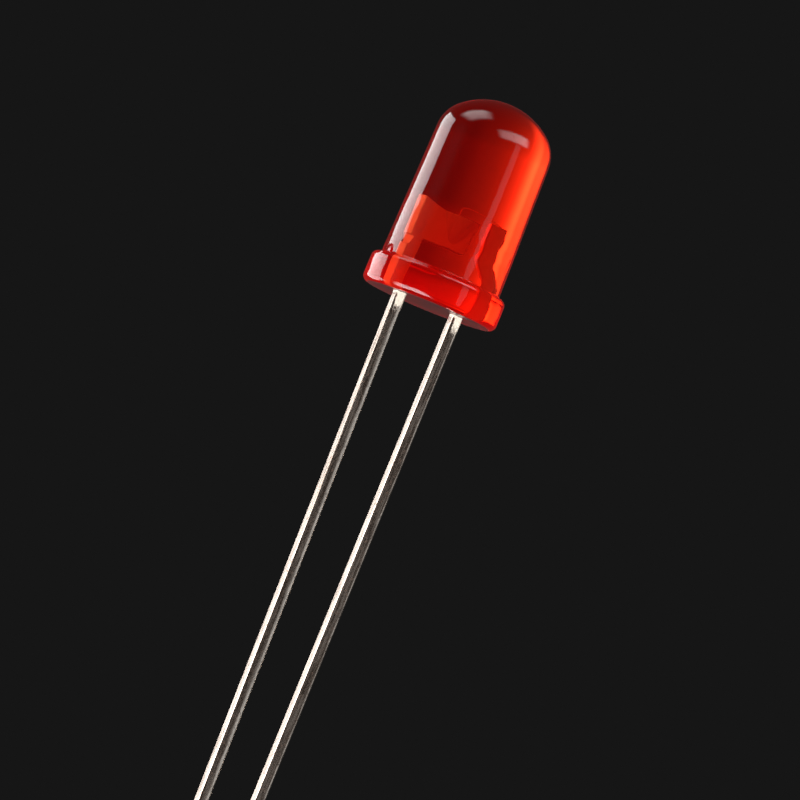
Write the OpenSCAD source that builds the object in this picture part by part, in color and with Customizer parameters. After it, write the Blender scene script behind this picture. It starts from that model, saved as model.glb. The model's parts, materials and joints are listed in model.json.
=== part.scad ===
// Round through-hole light emitting diode in tinted clear epoxy, with two stamped leads of square section.
// +Z is the optical axis. The origin is the centre of the flange's rim, on the plane that seats on a board.
// The leads run down -Z, in a row along X: the anvil's lead at -X and the post's lead at +X.
// The epoxy is cast round the lead frame, so each inner piece fills a cavity of its own shape in the lens.

/* [Lens] */
// Diameter of the lens where it leaves the flange
lens_d = 5.0; // [4.1:0.05:6]
// How much the lens's radius tapers from the flange to the dome
draft = 0.14; // [0.05:0.01:0.25]
// Height of the dome's tip above the seating plane
lens_h = 8.6; // [7.1:0.1:12]
// How much larger the dome's radius is than the lens's own radius under it
dome_excess = 0.5; // [0.1:0.02:1.2]
// Radius that blends the dome into the side
shoulder_r = 1.5; // [0.2:0.1:1.6]

/* [Flange] */
// How far the flange stands out past the lens
flange_step = 0.325; // [0.325:0.005:0.6]
// Height of the flange
flange_h = 1.3; // [0.8:0.01:1.6]
// Radius of the flange's upper edge
flange_top_r = 0.25; // [0.1:0.01:0.25]
// Radius of the flange's lower edge
flange_foot_r = 0.27; // [0.1:0.01:0.35]
// Radius of the corner between the flange and the lens
root_r = 0.07; // [0.02:0.01:0.07]
// Width of the flat rim round the underside
rim_w = 0.2; // [0.1:0.05:0.4]
// Depth of the hollow that the shrinking epoxy leaves in the underside
dish_depth = 0.1; // [0.05:0.01:0.4]

/* [Leads] */
// Distance between the two leads where they leave the lens
lead_pitch = 2.54; // [2.1:0.02:3.1]
// Width of a lead, as cut from the sheet
lead_w = 0.44; // [0.36:0.01:0.6]
// Thickness of the sheet that the lead frame is stamped from
sheet_t = 0.5; // [0.4:0.01:0.6]
// Length of the anvil's lead below the seating plane
anvil_lead_l = 25.4; // [3:0.1:30]
// Length of the post's lead below the seating plane
post_lead_l = 27; // [3:0.1:30]
// Angle at which the anvil's lead leans towards the post's lead, in degrees
anvil_lean = 1; // [0:0.1:2]

/* [Cup] */
// Place of the cup along X, from the optical axis
cup_x = -0.12; // [-0.2:0.02:0]
// Height of the cup's lip above the seating plane
cup_lip_z = 3.62; // [3.1:0.02:4.7]
// Diameter of the cup's mouth
cup_mouth_d = 0.96; // [0.8:0.02:1.16]
// Room on the cup's floor round the glue
floor_clear = 0.043; // [0.01:0.001:0.06]
// Depth of the cup
cup_depth = 0.36; // [0.3:0.02:0.45]
// Wall of the cup at its lip
cup_wall = 0.09; // [0.06:0.01:0.14]
// Height of the swelling that punching the cup leaves on both faces of the anvil
swelling_h = 1.15; // [0.8:0.05:1.3]

/* [Anvil] */
// Height of the anvil, from its lower edge to the cup's lip
anvil_h = 1.38; // [1.3:0.01:1.6]
// How far the anvil's outer end slopes up from the cup's lip
anvil_rise = 0.3; // [0.1:0.02:0.4]
// How far the anvil's flat reaches past the cup's centre
anvil_reach = 0.48; // [0.3:0.02:0.56]
// Cut at the anvil's two lower corners
anvil_corner = 0.1; // [0.05:0.01:0.15]
// Height of the notch between the anvil and its lead
notch_h = 0.34; // [0.1:0.02:0.4]
// Depth of that notch
notch_depth = 0.12; // [0.05:0.01:0.2]

/* [Post] */
// Height of the post's head
post_h = 1.5; // [1.2:0.01:1.6]
// How far the post rises above the cup's lip
post_rise = 0.22; // [0:0.02:0.3]
// Width of the post's head
post_w = 0.46; // [0.4:0.02:0.76]
// Height of the slope from the post's lead to its head
post_chin_h = 0.76; // [0.3:0.02:0.9]
// Gap between the cup's lip and the post
post_gap = 0.27; // [0.2:0.01:0.4]

/* [Die] */
// Side of the square die
die_w = 0.25; // [0.2:0.01:0.3]
// Height of the die
die_h = 0.18; // [0.12:0.01:0.25]
// Thickness of the silver-filled glue under the die
glue_t = 0.03; // [0.02:0.01:0.05]
// How far the glue spreads past the die's corners
glue_spread = 0.03; // [0.01:0.01:0.05]

/* [Bond wire] */
// Diameter of the wire
wire_d = 0.03; // [0.02:0.005:0.05]
// Diameter of the ball that bonds the wire to the die
ball_d = 0.09; // [0.07:0.01:0.12]
// Height of the wire's loop above the post
loop_rise = 0.2; // [0.1:0.02:0.4]
// Radius of the loop's bend above the die
bend_r = 0.16; // [0.1:0.02:0.3]

/* [Hidden] */
round_fn = 96;
wire_fn = 12;
edge_steps = 6;
dome_steps = 16;
// Angle by which the wire's bend runs on into its bow, which makes the two one piece
bend_lap = 6;

lens_r = lens_d / 2;
flange_r = lens_r + flange_step;
under_dome_r = lens_r - draft;
dome_r = under_dome_r + dome_excess;
dome_z = lens_h - dome_r;
side_foot = [lens_r, flange_h + root_r];
under_dome_z = dome_z + sqrt(dome_r ^ 2 - under_dome_r ^ 2);
taper = atan(draft / (under_dome_z - side_foot[1]));

cup_lip_r = cup_mouth_d / 2 + cup_wall;
cup_floor_z = cup_lip_z - cup_depth;
anvil_foot_z = cup_lip_z - anvil_h;
anvil_top_z = cup_lip_z + anvil_rise;
anvil_tip_x = cup_x + anvil_reach;
post_top_z = cup_lip_z + post_rise;
post_foot_z = post_top_z - post_h;
post_x0 = cup_x + cup_lip_r + post_gap;
post_x1 = post_x0 + post_w;
glue_r = die_w / sqrt(2) + glue_spread;
cup_floor_r = glue_r + floor_clear;
die_z = cup_floor_z + glue_t;
ball_z = die_z + die_h;

// Points of an arc, from angle a0 to angle a1 round the centre c
function arc(c, r, a0, a1, steps = edge_steps) =
    [for (i = [0:steps]) let (a = a0 + (a1 - a0) * i / steps) c + r * [cos(a), sin(a)]];

// Hollow of the underside, from the axis out to the flat rim
function dish_profile() =
    let (rim_r = flange_r - flange_foot_r - rim_w,
         r = (rim_r ^ 2 + dish_depth ^ 2) / (2 * dish_depth))
    arc([0, dish_depth - r], r, 90, 90 - asin(rim_r / r), dome_steps);

// Wall of the flange, between its two rounded edges
function flange_profile() =
    concat(arc([flange_r - flange_foot_r, flange_foot_r], flange_foot_r, -90, 0),
           arc([flange_r - flange_top_r, flange_h - flange_top_r], flange_top_r, 0, 90));

// Root corner, tapered side and dome, with a blend that touches the last two
function lens_profile() =
    let (centre = [0, dome_z],
         outward = [cos(taper), sin(taper)],
         upward = [-sin(taper), cos(taper)],
         reach = dome_r - shoulder_r,
         offset_in = (side_foot - centre) * outward - shoulder_r,
         blend = centre + offset_in * outward + sqrt(reach ^ 2 - offset_in ^ 2) * upward,
         turn = atan2(blend[1] - dome_z, blend[0]))
    concat(arc(side_foot + [root_r, 0], root_r, 270, 180),
           arc(blend, shoulder_r, taper, turn),
           arc(centre, dome_r, turn, 90, dome_steps));

module cast_body() {
    rotate_extrude($fn = round_fn)
        polygon(concat(dish_profile(), flange_profile(), lens_profile()));
}

// An outline in the XZ plane, cut from the sheet
module stamped(outline) {
    translate([0, sheet_t / 2, 0]) rotate([90, 0, 0]) linear_extrude(sheet_t) polygon(outline);
}

module cup_swelling() {
    translate([cup_x, 0, cup_lip_z - swelling_h])
        cylinder(h = swelling_h, r1 = sheet_t / 2, r2 = cup_lip_r, $fn = round_fn);
}

module cup_hollow() {
    translate([cup_x, 0, cup_floor_z])
        cylinder(h = cup_depth, r1 = cup_floor_r, r2 = cup_mouth_d / 2, $fn = round_fn);
}

module anvil_lead_shape() {
    outer_x = -(lead_pitch + lead_w) / 2;
    inner_x = outer_x + lead_w;
    tail_shift = anvil_lead_l * tan(anvil_lean);
    notch_x = outer_x + notch_depth;
    difference() {
        union() {
            stamped([
                [outer_x + tail_shift, -anvil_lead_l],
                [inner_x + tail_shift, -anvil_lead_l],
                [inner_x, 0],
                [inner_x, anvil_foot_z - anvil_corner],
                [inner_x + anvil_corner, anvil_foot_z],
                [anvil_tip_x - anvil_corner, anvil_foot_z],
                [anvil_tip_x, anvil_foot_z + anvil_corner],
                [anvil_tip_x, cup_lip_z],
                [cup_x - cup_lip_r, cup_lip_z],
                [outer_x, anvil_top_z],
                [outer_x, anvil_foot_z],
                [notch_x, anvil_foot_z],
                [notch_x, anvil_foot_z - notch_h],
                [outer_x, anvil_foot_z - notch_h],
                [outer_x, 0],
            ]);
            cup_swelling();
        }
        cup_hollow();
    }
}

module post_lead_shape() {
    inner_x = (lead_pitch - lead_w) / 2;
    outer_x = inner_x + lead_w;
    chin_z = post_foot_z - post_chin_h;
    stamped([
        [inner_x, -post_lead_l],
        [outer_x, -post_lead_l],
        [outer_x, chin_z],
        [post_x1, post_foot_z],
        [post_x1, post_top_z],
        [post_x0, post_top_z],
        [post_x0, post_foot_z],
        [inner_x, chin_z],
    ]);
}

module die_shape() {
    translate([cup_x - die_w / 2, -die_w / 2, die_z]) cube([die_w, die_w, die_h]);
}

module die_attach_shape() {
    translate([cup_x, 0, cup_floor_z])
        cylinder(h = glue_t, r = glue_r, $fn = round_fn);
}

// Part of a ring of wire in the XZ plane, from angle a0 to angle a1 round the point c
module wire_arc(c, r, a0, a1) {
    translate([c[0], 0, c[1]]) rotate([90, 0, 0]) rotate([0, 0, a0])
        rotate_extrude(angle = a1 - a0, $fn = round_fn)
            translate([r, 0]) circle(d = wire_d, $fn = wire_fn);
}

// Ball on the die, a tight bend over it, a long bow down to the post and a flattened stitch there
module bond_wire_shape() {
    top_z = post_top_z + loop_rise;
    bend = [cup_x + bend_r, top_z - bend_r];
    stitch_x = (post_x0 + post_x1) / 2;
    span = stitch_x - bend[0];
    drop = loop_rise - wire_d / 2;
    bow_r = (span ^ 2 + drop ^ 2) / (2 * drop);
    translate([cup_x, 0, ball_z]) {
        cylinder(h = ball_d / 2, d = ball_d, $fn = wire_fn);
        cylinder(h = bend[1] - ball_z, d = wire_d, $fn = wire_fn);
    }
    wire_arc(bend, bend_r, 90 - bend_lap, 180);
    wire_arc([bend[0], top_z - bow_r], bow_r, 90 - asin(span / bow_r), 90);
    translate([stitch_x, 0, post_top_z]) cylinder(h = wire_d, d = ball_d, $fn = wire_fn);
}

module lens() {
    color("red") difference() {
        cast_body();
        anvil_lead_shape();
        post_lead_shape();
        die_shape();
        die_attach_shape();
        bond_wire_shape();
    }
}

module anvil_lead() {
    color("silver") anvil_lead_shape();
}

module post_lead() {
    color("silver") post_lead_shape();
}

module die() {
    color("dimgray") die_shape();
}

module die_attach() {
    color("lightgray") die_attach_shape();
}

module bond_wire() {
    color("gold") bond_wire_shape();
}

lens();
anvil_lead();
post_lead();
die();
die_attach();
bond_wire();
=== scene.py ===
import json
from math import asin, atan, atan2, cos, degrees, hypot, pi, radians, sin, sqrt, tan

import bmesh
import bpy
from mathutils import Matrix, Vector

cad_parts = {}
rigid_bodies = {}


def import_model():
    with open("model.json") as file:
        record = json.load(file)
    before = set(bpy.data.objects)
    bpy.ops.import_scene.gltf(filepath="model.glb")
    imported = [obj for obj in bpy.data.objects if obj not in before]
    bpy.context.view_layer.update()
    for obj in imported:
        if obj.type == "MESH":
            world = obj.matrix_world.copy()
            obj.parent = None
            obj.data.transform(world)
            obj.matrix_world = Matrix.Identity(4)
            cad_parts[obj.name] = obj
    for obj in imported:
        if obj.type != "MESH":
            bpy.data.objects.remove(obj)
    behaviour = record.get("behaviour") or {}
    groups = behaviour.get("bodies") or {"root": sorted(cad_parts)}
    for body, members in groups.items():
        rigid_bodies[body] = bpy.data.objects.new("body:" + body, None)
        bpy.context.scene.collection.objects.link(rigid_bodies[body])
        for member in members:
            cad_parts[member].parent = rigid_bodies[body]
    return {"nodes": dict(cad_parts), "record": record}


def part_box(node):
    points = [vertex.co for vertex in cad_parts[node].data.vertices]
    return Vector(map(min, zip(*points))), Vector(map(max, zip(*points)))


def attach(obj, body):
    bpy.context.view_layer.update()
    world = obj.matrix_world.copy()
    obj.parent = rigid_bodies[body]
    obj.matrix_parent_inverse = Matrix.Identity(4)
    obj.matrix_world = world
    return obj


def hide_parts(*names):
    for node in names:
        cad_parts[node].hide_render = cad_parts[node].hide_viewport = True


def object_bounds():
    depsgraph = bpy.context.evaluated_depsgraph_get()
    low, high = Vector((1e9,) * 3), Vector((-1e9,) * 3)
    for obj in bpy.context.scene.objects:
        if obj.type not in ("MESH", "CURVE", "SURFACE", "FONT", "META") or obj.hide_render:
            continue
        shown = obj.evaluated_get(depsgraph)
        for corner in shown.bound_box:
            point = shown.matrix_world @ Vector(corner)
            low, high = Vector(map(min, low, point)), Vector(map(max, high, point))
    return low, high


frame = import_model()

# A round 5 mm light emitting diode: red epoxy cast round a stamped, tin-plated lead frame.
# Sizes are in millimetres and are turned to metres where a mesh, lamp or camera is made.
MM = 0.001
CAD_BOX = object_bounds()
MOUNTS = {mount["name"]: mount for mount in frame["record"]["mounts"]}

# Lens
FLANGE_R = MOUNTS["flange_rim"]["dims"]["r_mm"]
LENS_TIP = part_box("lens")[1].z / MM
LENS_R = 2.5
DRAFT = 0.14
DOME_EXCESS = 0.5
SHOULDER_R = 1.5
FLANGE_H = 1.3
FLANGE_TOP_R = 0.25
FLANGE_FOOT_R = 0.27
ROOT_R = 0.07
RIM_W = 0.2
DISH_DEPTH = 0.1

# Leads
LEAD_EDGE_R = 0.05
FLAT_FACE_W = 0.06
ANVIL_LEAN = radians(1)
ANVIL_INNER_X = -1.05
POST_OUTER_X = 1.49
# From each of those edges: how far in the silver is unworn, and how far in the edge is rolled down
ANVIL_BARE_W = 0.34
ANVIL_ROLL_W = 0.2
POST_BARE_W = 0.28
POST_ROLL_W = 0.1

# Width of the soft waves that the epoxy shrinks into as it sets
FLOW_MARK = 0.9
# A small bubble that stands out of the lens just over the flange
BUBBLE = (-2.525, -0.36, 1.38)
BUBBLE_R = 0.33
# Painted glow, as emission, as a share of full red: in the body, round the metal and in the flange it is
# red light that stands in for what a faint haze in the epoxy would scatter towards the eye, and in
# the underside it is a grey painted reflection of the dim room
GLOW = 0.05
LOW_GLOW = 0.09
FLANGE_GLOW = 0.24
UNDERSIDE_GLOW = 0.03

# Camera: it looks at the seat's centre from the anvil's side, from a little below the seating plane
VIEW_AZIMUTH = -18
VIEW_ELEVATION = -4.3
VIEW_ROLL = 22.3
VIEW_DISTANCE = 300
VIEW_WIDTH = 31.56
SEAT_RIGHT_OF_MIDDLE = 1.086
SEAT_ABOVE_MIDDLE = 3.714


def linear(colour):
    """Turns an sRGB hex colour, such as "#c01020", into the linear colour that shaders use."""
    parts = [int(colour[i:i + 2], 16) / 255 for i in (1, 3, 5)]
    return (*[p / 12.92 if p <= 0.04045 else ((p + 0.055) / 1.055) ** 2.4 for p in parts], 1)


def add_node(tree, kind, inputs=None, **settings):
    """Adds a node with its settings, and sets each named input or links it to another node's output."""
    node = tree.nodes.new(kind)
    for name, value in settings.items():
        setattr(node, name, value)
    for name, value in (inputs or {}).items():
        if isinstance(value, bpy.types.NodeSocket):
            tree.links.new(value, node.inputs[name])
        else:
            node.inputs[name].default_value = value
    return node


def new_material(name):
    """An empty material, with its node tree and its output."""
    material = bpy.data.materials.new(name)
    material.use_nodes = True
    tree = material.node_tree
    tree.nodes.clear()
    return material, tree, add_node(tree, "ShaderNodeOutputMaterial")


def bearing(azimuth, elevation):
    """Unit vector from the part towards a place round it. Azimuth 0 is -Y, 90 is +X."""
    a, e = radians(azimuth), radians(elevation)
    return Vector((sin(a) * cos(e), -cos(a) * cos(e), sin(e)))


# ---- Materials ----

def between(tree, position, axis, start, end):
    """A smooth rise from 0 to 1 along an axis of the part, from one place to another in mm."""
    along = add_node(tree, "ShaderNodeSeparateXYZ", {"Vector": position}).outputs[axis]
    return add_node(tree, "ShaderNodeMapRange", {
        "Value": along, "From Min": start * MM, "From Max": end * MM},
        interpolation_type="SMOOTHSTEP").outputs["Result"]


def noise(tree, position, size, stretch=(1, 1, 1), **more):
    """Soft random marks of a size in mm. A stretch under 1 draws them out along that axis."""
    drawn = add_node(tree, "ShaderNodeMapping", {"Vector": position, "Scale": stretch})
    return add_node(tree, "ShaderNodeTexNoise", {
        "Vector": drawn.outputs[0], "Scale": 1 / (size * MM), **more}).outputs["Fac"]


def math(tree, operation, first, second):
    return add_node(tree, "ShaderNodeMath", {0: first, 1: second}, operation=operation).outputs[0]


def remap(tree, value, start, end, low, high):
    """Takes a value from one range to another, and holds it at the ends."""
    return add_node(tree, "ShaderNodeMapRange", {
        "Value": value, "From Min": start, "From Max": end, "To Min": low, "To Max": high,
    }).outputs["Result"]


def blend(tree, share, first, second):
    """Mixes two colours. Each is a hex colour or another node's output."""
    pair = [linear(c) if isinstance(c, str) else c for c in (first, second)]
    return add_node(tree, "ShaderNodeMix", {"Factor": share, "A": pair[0], "B": pair[1]},
                    data_type="RGBA").outputs[2]


def relief(tree, height, depth, strength=1.0):
    """A bump of a depth in mm."""
    return add_node(tree, "ShaderNodeBump", {
        "Height": height, "Strength": strength, "Distance": depth * MM}).outputs["Normal"]


def principled(tree, output, inputs):
    surface = add_node(tree, "ShaderNodeBsdfPrincipled", inputs)
    tree.links.new(surface.outputs[0], output.inputs["Surface"])


def tinted_epoxy():
    """Clear epoxy dyed red, cast in a polished mould: a sharp gloss over a deep clear red.
    It shrank into soft waves round the metal as it set. A red painted glow, most in the flange, stands in
    for the light that a faint haze in it would scatter towards the eye. The hollow underside set in
    open air, so it is duller; a dark grey tint there is painted shade, and a faint grey glow there
    is a painted reflection of the dim room."""
    material, tree, output = new_material("cast_red_epoxy")
    position = add_node(tree, "ShaderNodeTexCoord").outputs["Object"]
    waves = noise(tree, position, FLOW_MARK, Detail=1, Roughness=0.4)
    wavy = remap(tree, between(tree, position, "Z", 4.2, 3.2), 0, 1, 0.03, 0.3)
    from_bubble = add_node(tree, "ShaderNodeVectorMath", {
        0: position, 1: [c * MM for c in BUBBLE]}, operation="DISTANCE").outputs["Value"]
    bubble = add_node(tree, "ShaderNodeMapRange", {
        "Value": from_bubble, "From Min": BUBBLE_R * MM, "From Max": BUBBLE_R * 0.3 * MM, "To Max": 0.6,
    }, interpolation_type="SMOOTHSTEP").outputs["Result"]
    # Painted glow: an emission strength that rises towards the flange, standing in for light scattered by a
    # haze
    low_painted_glow = remap(tree, between(tree, position, "Z", 0.6, FLANGE_H), 0, 1, FLANGE_GLOW, LOW_GLOW)
    painted_glow = remap(tree, between(tree, position, "Z", 3.2, 4.2), 0, 1, low_painted_glow, GLOW)
    flat = add_node(tree, "ShaderNodeMapping", {"Vector": position, "Scale": (1, 1, 0)}).outputs[0]
    from_axis = add_node(tree, "ShaderNodeVectorMath", {0: flat}, operation="LENGTH").outputs["Value"]
    # The moulded surface is glossy and glows red. On the rougher hollow underside, the dark grey base colour
    # is painted shade and the faint grey glow is a painted reflection
    rim_r = FLANGE_R - FLANGE_FOOT_R
    moulded = math(tree, "MAXIMUM", between(tree, position, "Z", DISH_DEPTH, DISH_DEPTH + 0.02),
                   remap(tree, from_axis, rim_r * MM, (rim_r + 0.06) * MM, 0, 1))
    principled(tree, output, {
        "Base Color": blend(tree, moulded, "#5c5056", "#ffffff"),
        "Roughness": remap(tree, moulded, 0, 1, 0.35, 0.05),
        "IOR": 1.53, "Transmission Weight": 1.0,
        "Emission Color": blend(tree, moulded, "#b09aa0", "#ff0000"),
        "Emission Strength": math(tree, "MAXIMUM", math(tree, "MULTIPLY", painted_glow, moulded), UNDERSIDE_GLOW),
        "Normal": relief(tree, math(tree, "ADD", math(tree, "MULTIPLY", waves, wavy), bubble), 0.15)})
    dye = add_node(tree, "ShaderNodeVolumeAbsorption", {
        "Color": (0.96, 0.29, 0.0, 1), "Density": 1240})
    tree.links.new(dye.outputs[0], output.inputs["Volume"])
    return material


def plated_steel(name, worn_until, roll_start, roll_end, lean):
    """Stamped steel with matt silver plate in and just under the lens, and tin plate below it.
    The silver is pale and soft, and is worn off towards one side under the lens. The tin is a darker
    mirror, with streaks drawn out along it and dull pits where it is thin, both coarser than real ones
    so that they show. The punch rolled one edge down, so that edge catches the light. The sides are
    given as places across the lead in mm."""
    material, tree, output = new_material(name)
    position = add_node(tree, "ShaderNodeTexCoord").outputs["Object"]
    straight = add_node(tree, "ShaderNodeMapping", {"Vector": position, "Rotation": (0, lean, 0)}).outputs[0]
    across = add_node(tree, "ShaderNodeSeparateXYZ", {"Vector": straight}).outputs["X"]
    streaks = noise(tree, straight, 0.07, (1, 1, 0.05), Detail=3)
    pits = noise(tree, straight, 0.08, (1, 1, 0.5), Detail=2, Roughness=0.7)
    patchy = noise(tree, straight, 0.3, (1, 1, 0.25), Detail=3)

    worn = math(tree, "MULTIPLY",
                remap(tree, across, (worn_until - 0.06) * MM, worn_until * MM, -0.6, 0),
                between(tree, position, "Z", 0.1, -0.1))
    dipped = math(tree, "ADD", between(tree, position, "Z", -1.3, 0), worn)
    silver = remap(tree, math(tree, "ADD", pits, dipped), 0.95, 1.35, 0, 1)
    plate = blend(tree, between(tree, position, "Z", 1.5, 2.8), "#fffae8", "#fff2dc")

    dull = remap(tree, pits, 0.55, 0.68, 0, 1)
    shine = remap(tree, streaks, 0.35, 0.65, 0.12, 0.22)
    tin = blend(tree, dull, blend(tree, streaks, "#c6ac99", "#eee4da"), "#94796a")

    ragged = math(tree, "MULTIPLY", math(tree, "SUBTRACT", patchy, 0.5), 0.12 * MM)
    rolled = remap(tree, math(tree, "ADD", across, ragged), roll_start * MM, roll_end * MM, 0, 1)
    down = (roll_start - roll_end) * MM * 0.06
    drop = math(tree, "MULTIPLY", math(tree, "MULTIPLY", rolled, rolled), down)
    marks = math(tree, "MULTIPLY", math(tree, "ADD", streaks, pits), 0.0008 * MM)
    principled(tree, output, {
        "Base Color": blend(tree, silver, blend(tree, rolled, tin, "#f4f0e8"), plate),
        "Metallic": remap(tree, silver, 0, 1, 1.0, 0.3),
        "Roughness": remap(tree, silver, 0, 1, remap(tree, dull, 0, 1, shine, 0.4), 0.5),
        "Normal": relief(tree, math(tree, "ADD", drop, marks), 1000)})
    return material


def sawn_crystal():
    """A chip of gallium compound crystal sawn from a wafer: dark, hard and slightly shiny, with fine
    level saw marks and small chipped specks."""
    material, tree, output = new_material("sawn_gallium_crystal")
    position = add_node(tree, "ShaderNodeTexCoord").outputs["Object"]
    saw = noise(tree, position, 0.02, (0.1, 0.1, 1), Detail=2)
    chips = remap(tree, noise(tree, position, 0.03, Detail=2), 0.6, 0.7, 0, 1)
    principled(tree, output, {
        "Base Color": blend(tree, chips, blend(tree, saw, "#2b2220", "#5a4741"), "#8d7a70"),
        "Roughness": remap(tree, saw, 0.3, 0.7, 0.25, 0.55), "IOR": 3.0,
        "Normal": relief(tree, saw, 0.003)})
    return material


def silver_glue():
    """Epoxy glue full of fine silver flakes, set in a smooth bead: grey, with a speckled sheen."""
    material, tree, output = new_material("silver_filled_epoxy_glue")
    position = add_node(tree, "ShaderNodeTexCoord").outputs["Object"]
    flakes = add_node(tree, "ShaderNodeTexVoronoi", {"Vector": position, "Scale": 1 / (0.02 * MM)})
    bright = remap(tree, flakes.outputs["Distance"], 0.2, 0.6, 1, 0)
    principled(tree, output, {
        "Base Color": blend(tree, bright, "#6f6a64", "#d8d3ca"), "Metallic": bright,
        "Roughness": remap(tree, bright, 0, 1, 0.7, 0.35), "Normal": relief(tree, bright, 0.003)})
    return material


def drawn_gold():
    """Thin gold wire drawn through a die: a warm mirror with faint scratches that dull it."""
    material, tree, output = new_material("drawn_gold_wire")
    position = add_node(tree, "ShaderNodeTexCoord").outputs["Object"]
    scratches = noise(tree, position, 0.02, Detail=3)
    principled(tree, output, {
        "Base Color": blend(tree, scratches, "#e0a848", "#ffd27a"), "Metallic": 1.0,
        "Roughness": remap(tree, scratches, 0.3, 0.7, 0.12, 0.3)})
    return material


def studio_paper():
    """Pale, plain background paper: matt, with a faint tooth."""
    material, tree, output = new_material("pale_background_paper")
    position = add_node(tree, "ShaderNodeTexCoord").outputs["Object"]
    tooth = noise(tree, position, 0.8, Detail=4)
    principled(tree, output, {
        "Base Color": blend(tree, tooth, "#eceae6", "#f4f2ee"), "Roughness": 0.9,
        "Normal": relief(tree, tooth, 0.05)})
    return material


# ---- Pieces ----

def arc(centre, radius, start, end, steps):
    """Points of an arc in the plane of radius and height, with its angles in degrees."""
    turns = [radians(start + (end - start) * i / steps) for i in range(steps + 1)]
    return [(centre[0] + radius * cos(t), centre[1] + radius * sin(t)) for t in turns]


def lens_outline():
    """Half section of the lens, from the middle of the hollowed underside to the dome's tip."""
    rim_r = FLANGE_R - FLANGE_FOOT_R - RIM_W
    dish_r = (rim_r ** 2 + DISH_DEPTH ** 2) / (2 * DISH_DEPTH)
    under_dome_r = LENS_R - DRAFT
    dome_r = under_dome_r + DOME_EXCESS
    dome_z = LENS_TIP - dome_r
    foot_z = FLANGE_H + ROOT_R
    taper = atan(DRAFT / (dome_z + sqrt(dome_r ** 2 - under_dome_r ** 2) - foot_z))
    inset = LENS_R * cos(taper) + (foot_z - dome_z) * sin(taper) - SHOULDER_R
    rise = sqrt((dome_r - SHOULDER_R) ** 2 - inset ** 2)
    shoulder = (inset * cos(taper) - rise * sin(taper), dome_z + inset * sin(taper) + rise * cos(taper))
    turn = degrees(atan2(shoulder[1] - dome_z, shoulder[0]))
    return (
        arc((0, DISH_DEPTH - dish_r), dish_r, 90, 90 - degrees(asin(rim_r / dish_r)), 14)
        + arc((FLANGE_R - FLANGE_FOOT_R, FLANGE_FOOT_R), FLANGE_FOOT_R, -90, 0, 10)
        + arc((FLANGE_R - FLANGE_TOP_R, FLANGE_H - FLANGE_TOP_R), FLANGE_TOP_R, 0, 90, 8)
        + arc((LENS_R + ROOT_R, foot_z), ROOT_R, 270, 180, 8)
        + arc(shoulder, SHOULDER_R, degrees(taper), turn, 20)
        + arc((0, dome_z), dome_r, turn, 90, 24)
    )


def new_piece(name, mesh_maker, material, sharp_above, cad_node):
    """Makes a piece from a bmesh, which rides on the only body and stands for a CAD node."""
    mesh = bpy.data.meshes.new(name)
    mesh_maker.to_mesh(mesh)
    mesh_maker.free()
    mesh.materials.append(material)
    mesh.set_sharp_from_angle(angle=radians(sharp_above))
    piece = bpy.data.objects.new(name, mesh)
    bpy.context.scene.collection.objects.link(piece)
    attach(piece, "root")
    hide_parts(cad_node)
    return piece


def make_lens(material):
    bm = bmesh.new()
    points = [bm.verts.new((r * MM, 0, z * MM)) for r, z in lens_outline()]
    edges = [bm.edges.new(pair) for pair in zip(points, points[1:])]
    bmesh.ops.spin(bm, geom=points + edges, cent=(0, 0, 0), axis=(0, 0, 1), angle=2 * pi, steps=160,
                   use_merge=True)
    bmesh.ops.remove_doubles(bm, verts=bm.verts, dist=0.0005 * MM)
    bmesh.ops.recalc_face_normals(bm, faces=bm.faces)
    for face in bm.faces:
        face.smooth = True
    return new_piece("epoxy_lens", bm, material, 40, "lens")


def make_lead(cad_node, name, material):
    """A lead with the small edge radii that stamping and plating leave, from its CAD solid."""
    bm = bmesh.new()
    bm.from_mesh(frame["nodes"][cad_node].data)
    bmesh.ops.remove_doubles(bm, verts=bm.verts, dist=0.0005 * MM)
    bmesh.ops.dissolve_limit(bm, angle_limit=radians(1), verts=bm.verts, edges=bm.edges)
    corners = [e for e in bm.edges
               if e.is_manifold and e.calc_face_angle() > radians(25) and e.calc_length() > 0.25 * MM]
    bmesh.ops.bevel(bm, geom=corners, offset=LEAD_EDGE_R * MM, segments=4, profile=0.5, affect="EDGES",
                    material=-1)
    rounded = [f.calc_area() / max(e.calc_length() for e in f.edges) < FLAT_FACE_W * MM for f in bm.faces]
    piece = new_piece(name, bm, material, 40, cad_node)
    piece.data.polygons.foreach_set("use_smooth", rounded)
    return piece


# ---- Stage ----

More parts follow.
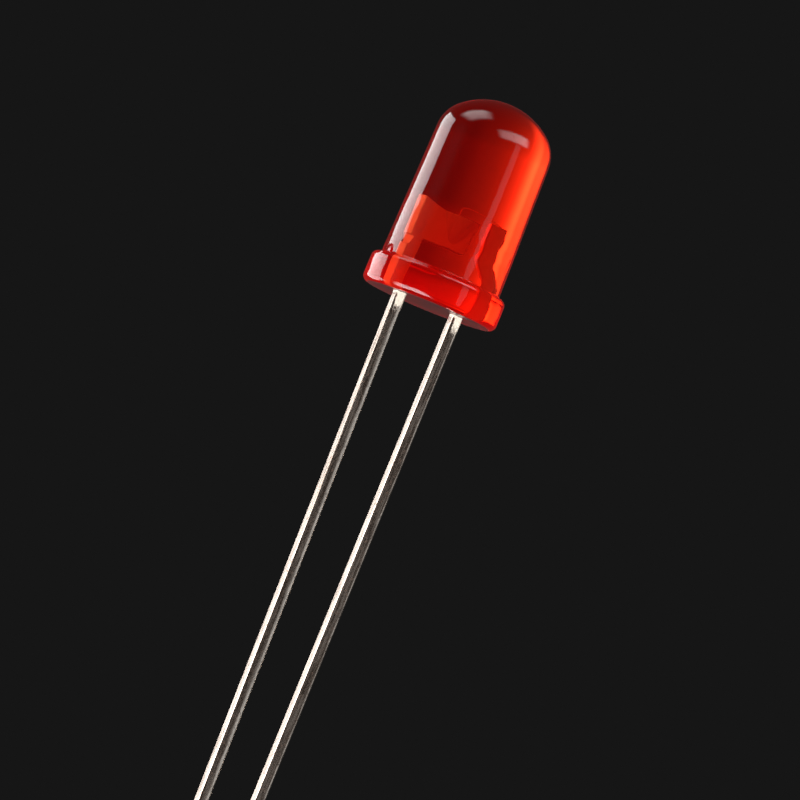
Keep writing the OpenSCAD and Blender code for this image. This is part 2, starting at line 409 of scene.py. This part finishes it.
def softbox(name, azimuth, elevation, width, height, brightness, fade=(1, 1), softness=0.06,
            distance=400, gloss=True, through=True, only=None):
    """A soft-edged area lamp that faces the part. Its width and height are the angles that it fills.
    Its brightness changes to fade[0] of it across its width, clockwise, and to fade[1] down its height.
    Its softness is the share of its width over which its light falls off at each edge.
    Gloss and through say whether mirrors and clear pieces show it. It may light one collection only."""
    lamp = bpy.data.lights.new(name, "AREA")
    lamp.shape = "RECTANGLE"
    lamp.size = 2 * distance * tan(radians(width / 2)) * MM
    lamp.size_y = 2 * distance * tan(radians(height / 2)) * MM
    lamp.energy = brightness * pi * lamp.size * lamp.size_y
    lamp.use_nodes = True
    tree = lamp.node_tree
    panel = add_node(tree, "ShaderNodeNewGeometry").outputs["Parametric"]
    place = add_node(tree, "ShaderNodeSeparateXYZ", {"Vector": panel}).outputs
    strength = None
    for side, end in zip((place["X"], place["Y"]), fade):
        inwards = add_node(tree, "ShaderNodeMath", {0: side, 1: 0.5}, operation="PINGPONG")
        edge = add_node(tree, "ShaderNodeMapRange", {
            "Value": inwards.outputs[0], "From Max": softness}, interpolation_type="SMOOTHSTEP")
        way = add_node(tree, "ShaderNodeMath", {0: 1.0, 1: side}, operation="SUBTRACT")
        dimming = add_node(tree, "ShaderNodeMath", {0: end, 1: way.outputs[0]}, operation="POWER")
        share = add_node(tree, "ShaderNodeMath", {
            0: edge.outputs[0], 1: dimming.outputs[0]}, operation="MULTIPLY")
        strength = share if strength is None else add_node(tree, "ShaderNodeMath", {
            0: strength.outputs[0], 1: share.outputs[0]}, operation="MULTIPLY")
    tree.links.new(strength.outputs[0], tree.nodes["Emission"].inputs["Strength"])
    stand = bpy.data.objects.new(name, lamp)
    stand.location = bearing(azimuth, elevation) * distance * MM
    stand.rotation_euler = bearing(azimuth, elevation).to_track_quat("Z", "Y").to_euler()
    stand.visible_camera = False
    stand.visible_glossy = gloss
    stand.visible_transmission = through
    if only:
        stand.light_linking.receiver_collection = only
    bpy.context.scene.collection.objects.link(stand)


def make_floor(material):
    """A pale floor under the leads' ends. Gloss and clear pieces don't show it, and it blocks no lamp."""
    bm = bmesh.new()
    bmesh.ops.create_circle(bm, cap_ends=True, segments=96, radius=250 * MM)
    bmesh.ops.translate(bm, verts=bm.verts, vec=(0, 0, CAD_BOX[0].z))
    mesh = bpy.data.meshes.new("floor")
    bm.to_mesh(mesh)
    bm.free()
    mesh.materials.append(material)
    floor = bpy.data.objects.new("floor", mesh)
    bpy.context.scene.collection.objects.link(floor)
    floor.visible_transmission = False
    floor.visible_glossy = False
    floor.visible_shadow = False


def make_world(backdrop, walls):
    """A dark backdrop, and the dim walls of the studio, which show only as a sheen on gloss and metal."""
    world = bpy.data.worlds.new("studio")
    world.use_nodes = True
    tree = world.node_tree
    mirrored = add_node(tree, "ShaderNodeLightPath").outputs["Is Glossy Ray"]
    tree.links.new(blend(tree, mirrored, backdrop, walls), tree.nodes["Background"].inputs["Color"])
    bpy.context.scene.world = world


def make_camera():
    """A long lens that looks at the seat's centre from a little below, rolled so that the part leans."""
    lens = bpy.data.cameras.new("camera")
    lens.lens = lens.sensor_width * VIEW_DISTANCE / VIEW_WIDTH
    lens.clip_start = 1 * MM
    lens.clip_end = 5000 * MM
    camera = bpy.data.objects.new("camera", lens)
    bpy.context.scene.collection.objects.link(camera)
    toward = bearing(VIEW_AZIMUTH, VIEW_ELEVATION)
    level = Vector((0, 0, 1)).cross(toward).normalized()
    upright = toward.cross(level)
    turn = radians(VIEW_ROLL)
    right = level * cos(turn) + upright * sin(turn)
    up = upright * cos(turn) - level * sin(turn)
    middle = -(right * SEAT_RIGHT_OF_MIDDLE + up * SEAT_ABOVE_MIDDLE) * MM
    camera.location = toward * VIEW_DISTANCE * MM
    back = (camera.location - middle).normalized()
    side = up.cross(back).normalized()
    camera.matrix_world = Matrix.Translation(camera.location) @ Matrix(
        (side, back.cross(side), back)).transposed().to_4x4()
    bpy.context.scene.camera = camera


epoxy = tinted_epoxy()
anvil_plate = plated_steel("plated_steel_of_the_anvil", ANVIL_INNER_X - ANVIL_BARE_W,
                           ANVIL_INNER_X - ANVIL_ROLL_W, ANVIL_INNER_X, ANVIL_LEAN)
post_plate = plated_steel("plated_steel_of_the_post", POST_OUTER_X - POST_BARE_W,
                          POST_OUTER_X - POST_ROLL_W, POST_OUTER_X, 0)
make_lens(epoxy)
make_lead("anvil_lead", "plated_anvil_lead", anvil_plate)
make_lead("post_lead", "plated_post_lead", post_plate)
for cad_node, material in (
        ("die", sawn_crystal()), ("die_attach", silver_glue()), ("bond_wire", drawn_gold())):
    frame["nodes"][cad_node].data.materials.clear()
    frame["nodes"][cad_node].data.materials.append(material)

part = bpy.data.collections.new("led")
for piece in bpy.data.objects:
    if piece.type == "MESH":
        part.objects.link(piece)
make_floor(studio_paper())
make_world("#161616", "#34312f")
# The key light is split in three: what the gloss mirrors, and what comes through the epoxy from behind
softbox("key_softbox", -139, -7.5, 46, 64, 4.0, through=False)
softbox("key_through", -146, -12, 50, 84, 11.5, (1, 0.035), 0.32, gloss=False, only=part)
softbox("key_spill", -182, -12, 68, 84, 28, (0.0035, 0.035), 0.2, gloss=False, only=part)
# Two softboxes that the dome mirrors, and a strip that the side mirrors
softbox("top_left_softbox", -106, 55, 42, 48, 2.0, (1.8, 1), 0.3)
softbox("top_right_softbox", 20, 41, 68, 33, 4.5, (0.4, 1), 0.25)
softbox("right_strip", 28.5, 8, 13, 36, 0.5)
# A card close under the flange, which its rounded foot mirrors
softbox("low_card", -57, -36, 66, 66, 7.0, softness=0.25, distance=65, through=False, only=part)
# Fills for the plates inside the epoxy, and one for the bare matt silver under it
softbox("front_fill", -8, 5, 60, 40, 1.6, softness=0.5, gloss=False, only=part)
softbox("side_fill", -93, 4, 40, 50, 5.5, softness=0.5, gloss=False, only=part)
softbox("under_fill", -20, -20, 60, 40, 7.0, softness=0.3, gloss=False, through=False, only=part)
make_camera()

bpy.context.scene.view_settings.view_transform = "Standard"
